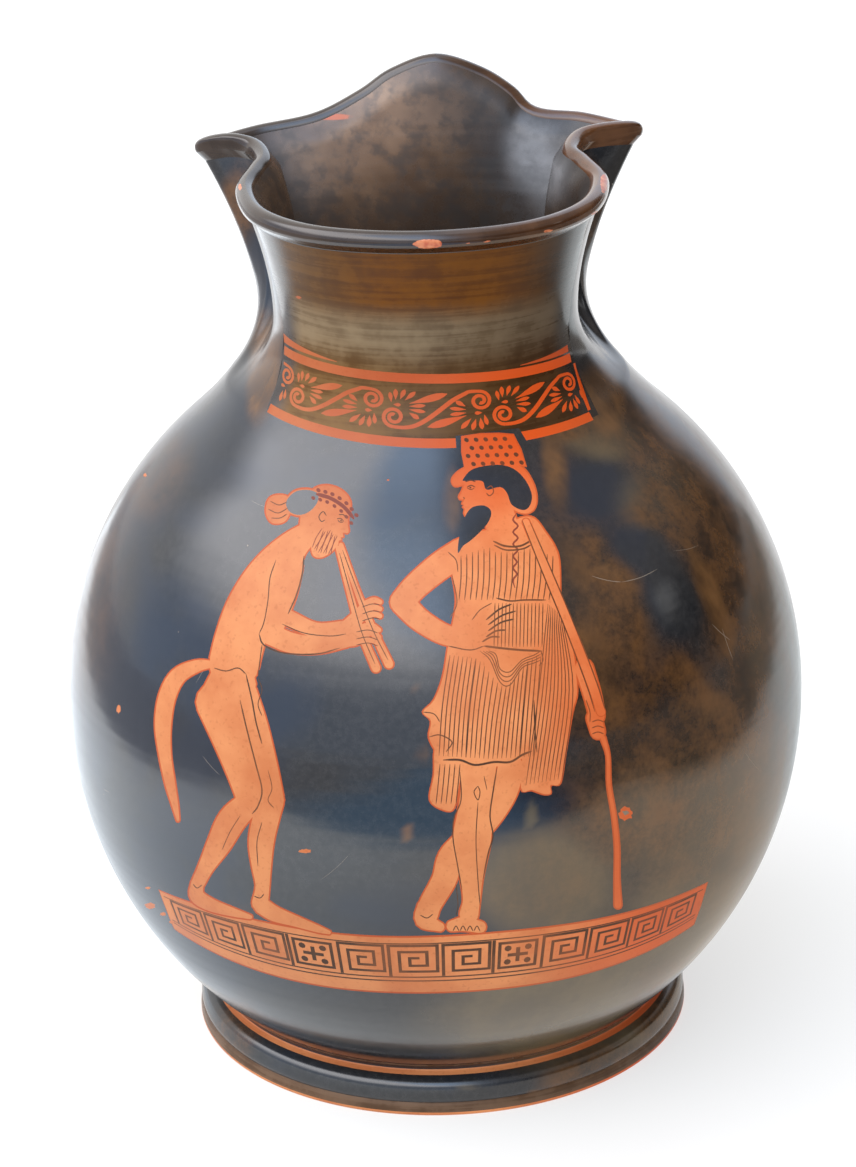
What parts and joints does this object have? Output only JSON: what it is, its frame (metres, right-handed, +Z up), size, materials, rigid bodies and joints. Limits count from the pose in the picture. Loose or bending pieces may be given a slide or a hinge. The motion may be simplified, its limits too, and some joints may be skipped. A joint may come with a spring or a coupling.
{
  "type": "trefoil-mouthed wine jug",
  "caption": "Thrown clay pouring jug with a round belly, pinched three-lobed mouth, moulded ring foot and a strap handle from rim to belly.",
  "frame": {"origin": "on the surface that the jug stands on, below the middle of the jug's box; the turning axis stands a few millimetres in front of it, because the handle adds to the back", "axes": "+Z up along the turning axis, -Y towards the pouring lip and the painted picture, +Y towards the handle, +X to the right seen from the front"},
  "size_m": [0.1878, 0.1962, 0.2436],
  "materials": {
    "black_slip": "glossy black slip over orange clay, with reserved and painted bands and figures"
  },
  "bodies": {
    "root": {"jug": "black_slip"}
  },
  "joints": []
}
